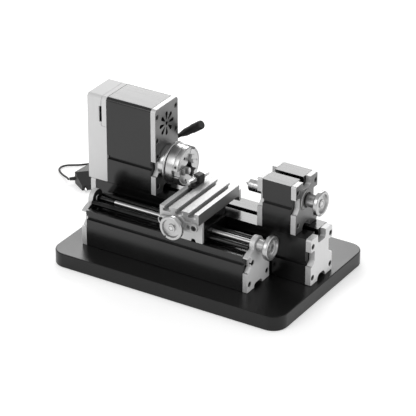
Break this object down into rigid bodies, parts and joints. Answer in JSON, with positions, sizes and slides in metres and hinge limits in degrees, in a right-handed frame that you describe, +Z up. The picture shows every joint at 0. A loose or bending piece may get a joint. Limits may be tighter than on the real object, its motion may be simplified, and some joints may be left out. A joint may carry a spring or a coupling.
{
  "type": "mini metal lathe",
  "caption": "Small bench lathe for metal on a black base board, with slotted bar beds, a headstock with a jaw chuck, a carriage with a cross slide, and a tailstock.",
  "frame": {"origin": "centre of the base board's underside", "axes": "+Z up, +X along the beds from the headstock to the tailstock, +Y from the operator to the back"},
  "size_m": [0.4255, 0.2432, 0.1803],
  "materials": {
    "board": "satin black painted board",
    "black_anodised": "black anodised extrusion, satin",
    "machined_aluminium": "fine bead-blasted and milled",
    "milled_aluminium": "face milled",
    "cover_aluminium": "pale satin",
    "ground_steel": "ground",
    "chrome": "turned and polished",
    "brass": "machined",
    "black_oxide": "black oxide",
    "motor_steel": "dark plated",
    "black_plastic": "moulded, satin",
    "rubber": "matt"
  },
  "bodies": {
    "frame": {"base_board": "board", "front_bed": "black_anodised", "front_bed_left_plate": "machined_aluminium", "front_bed_right_plate": "machined_aluminium", "guide_rod_front": "black_oxide", "guide_rod_rear": "black_oxide", "rear_bed": "black_anodised", "rear_bed_left_plate": "machined_aluminium", "rear_bed_right_plate": "machined_aluminium", "headstock_housing": "black_anodised", "headstock_right_plate": "machined_aluminium", "headstock_left_plate": "machined_aluminium", "spindle_bearing_front": "ground_steel", "spindle_bearing_rear": "ground_steel", "motor": "motor_steel", "belt_cover": "cover_aluminium", "drive_belt": "rubber", "lever_stud": "ground_steel", "cord_gland": "rubber", "cord_lead": "rubber", "cord_coil": "rubber", "cord_tail": "rubber", "power_plug": "black_plastic", "plug_pin_1": "ground_steel", "plug_pin_2": "ground_steel"},
    "leadscrew": {"leadscrew": "ground_steel", "leadscrew_handwheel": "chrome"},
    "carriage": {"carriage_saddle": "black_anodised", "carriage_front_plate": "machined_aluminium", "leadscrew_nut": "brass", "cross_feed_nut": "brass"},
    "cross_slide": {"cross_slide_table": "milled_aluminium", "cross_slide_front_plate": "milled_aluminium", "cross_slide_rear_plate": "milled_aluminium", "cross_rod_left": "ground_steel", "cross_rod_right": "ground_steel", "tool_holder": "black_oxide", "turning_tool": "ground_steel", "tool_clamp_bolt": "black_oxide"},
    "cross_screw": {"cross_feed_screw": "ground_steel", "cross_feed_handwheel": "chrome"},
    "spindle": {"spindle": "ground_steel", "spindle_pulley": "machined_aluminium", "chuck_body": "chrome"},
    "motor_rotor": {"motor_pulley": "machined_aluminium"},
    "scroll": {"chuck_scroll_ring": "chrome"},
    "jaw_1": {"chuck_jaw_1": "chrome"},
    "jaw_2": {"chuck_jaw_2": "chrome"},
    "jaw_3": {"chuck_jaw_3": "chrome"},
    "tailstock": {"tailstock_body": "black_anodised", "tailstock_left_plate": "machined_aluminium", "tailstock_right_plate": "machined_aluminium", "tailstock_clamp_nut": "ground_steel"},
    "quill": {"quill": "ground_steel", "dead_centre": "ground_steel"},
    "tailstock_screw": {"tailstock_screw": "ground_steel", "tailstock_handwheel": "chrome"},
    "lever": {"clamp_lever": "black_oxide", "lever_grip": "black_plastic"}
  },
  "joints": [
    {"name": "leadscrew_turn", "type": "hinge", "parent": "frame", "child": "leadscrew", "pos_m": [0, -0.0422, 0.068], "axis": [1, 0, 0], "range_deg": [-2525, 14045]},
    {"name": "carriage_slide", "type": "slide", "parent": "frame", "child": "carriage", "axis": [1, 0, 0], "range_m": [-0.007, 0.039]},
    {"name": "cross_slide", "type": "slide", "parent": "carriage", "child": "cross_slide", "axis": [0, -1, 0], "range_m": [0, 0.029]},
    {"name": "cross_feed_turn", "type": "hinge", "parent": "cross_slide", "child": "cross_screw", "pos_m": [0.0085, 0, 0.0865], "axis": [0, -1, 0], "range_deg": [-5, 10445]},
    {"name": "spindle_turn", "type": "hinge", "parent": "frame", "child": "spindle", "pos_m": [0, 0.008, 0.1095], "axis": [1, 0, 0], "continuous": true},
    {"name": "motor_turn", "type": "hinge", "parent": "frame", "child": "motor_rotor", "pos_m": [0, 0.008, 0.156], "axis": [1, 0, 0], "continuous": true},
    {"name": "chuck_scroll_turn", "type": "hinge", "parent": "spindle", "child": "scroll", "pos_m": [0, 0.008, 0.1095], "axis": [1, 0, 0], "range_deg": [-541, 541]},
    {"name": "jaw_1_slide", "type": "slide", "parent": "spindle", "child": "jaw_1", "axis": [0, 0.4384, 0.8988], "range_m": [-0.003, 0.003]},
    {"name": "jaw_2_slide", "type": "slide", "parent": "spindle", "child": "jaw_2", "axis": [0, 0.5592, -0.829], "range_m": [-0.00302, 0.00302]},
    {"name": "jaw_3_slide", "type": "slide", "parent": "spindle", "child": "jaw_3", "axis": [0, -0.9976, -0.0698], "range_m": [-0.00302, 0.00302]},
    {"name": "tailstock_slide", "type": "slide", "parent": "frame", "child": "tailstock", "axis": [1, 0, 0], "range_m": [-0.039, 0.013]},
    {"name": "quill_slide", "type": "slide", "parent": "tailstock", "child": "quill", "axis": [-1, 0, 0], "range_m": [-0.01, 0.016]},
    {"name": "quill_feed_turn", "type": "hinge", "parent": "tailstock", "child": "tailstock_screw", "pos_m": [0, 0.008, 0.1095], "axis": [1, 0, 0], "range_deg": [-3605, 5765]},
    {"name": "clamp_lever_turn", "type": "hinge", "parent": "frame", "child": "lever", "pos_m": [-0.0795, 0.04, 0.1145], "axis": [0, 1, 0], "range_deg": [-45, 45]}
  ],
  "couplings": [
    {"joint": "leadscrew_turn", "follows": "carriage_slide", "rad_per_m": 6283.2},
    {"joint": "cross_feed_turn", "follows": "cross_slide", "rad_per_m": 6283.2},
    {"joint": "quill_feed_turn", "follows": "quill_slide", "rad_per_m": 6283.2},
    {"joint": "motor_turn", "follows": "spindle_turn", "ratio": 2},
    {"joint": "chuck_scroll_turn", "follows": "jaw_1_slide", "rad_per_m": 3141.6},
    {"joint": "jaw_2_slide", "follows": "jaw_1_slide", "ratio": 1},
    {"joint": "jaw_3_slide", "follows": "jaw_1_slide", "ratio": 1}
  ]
}
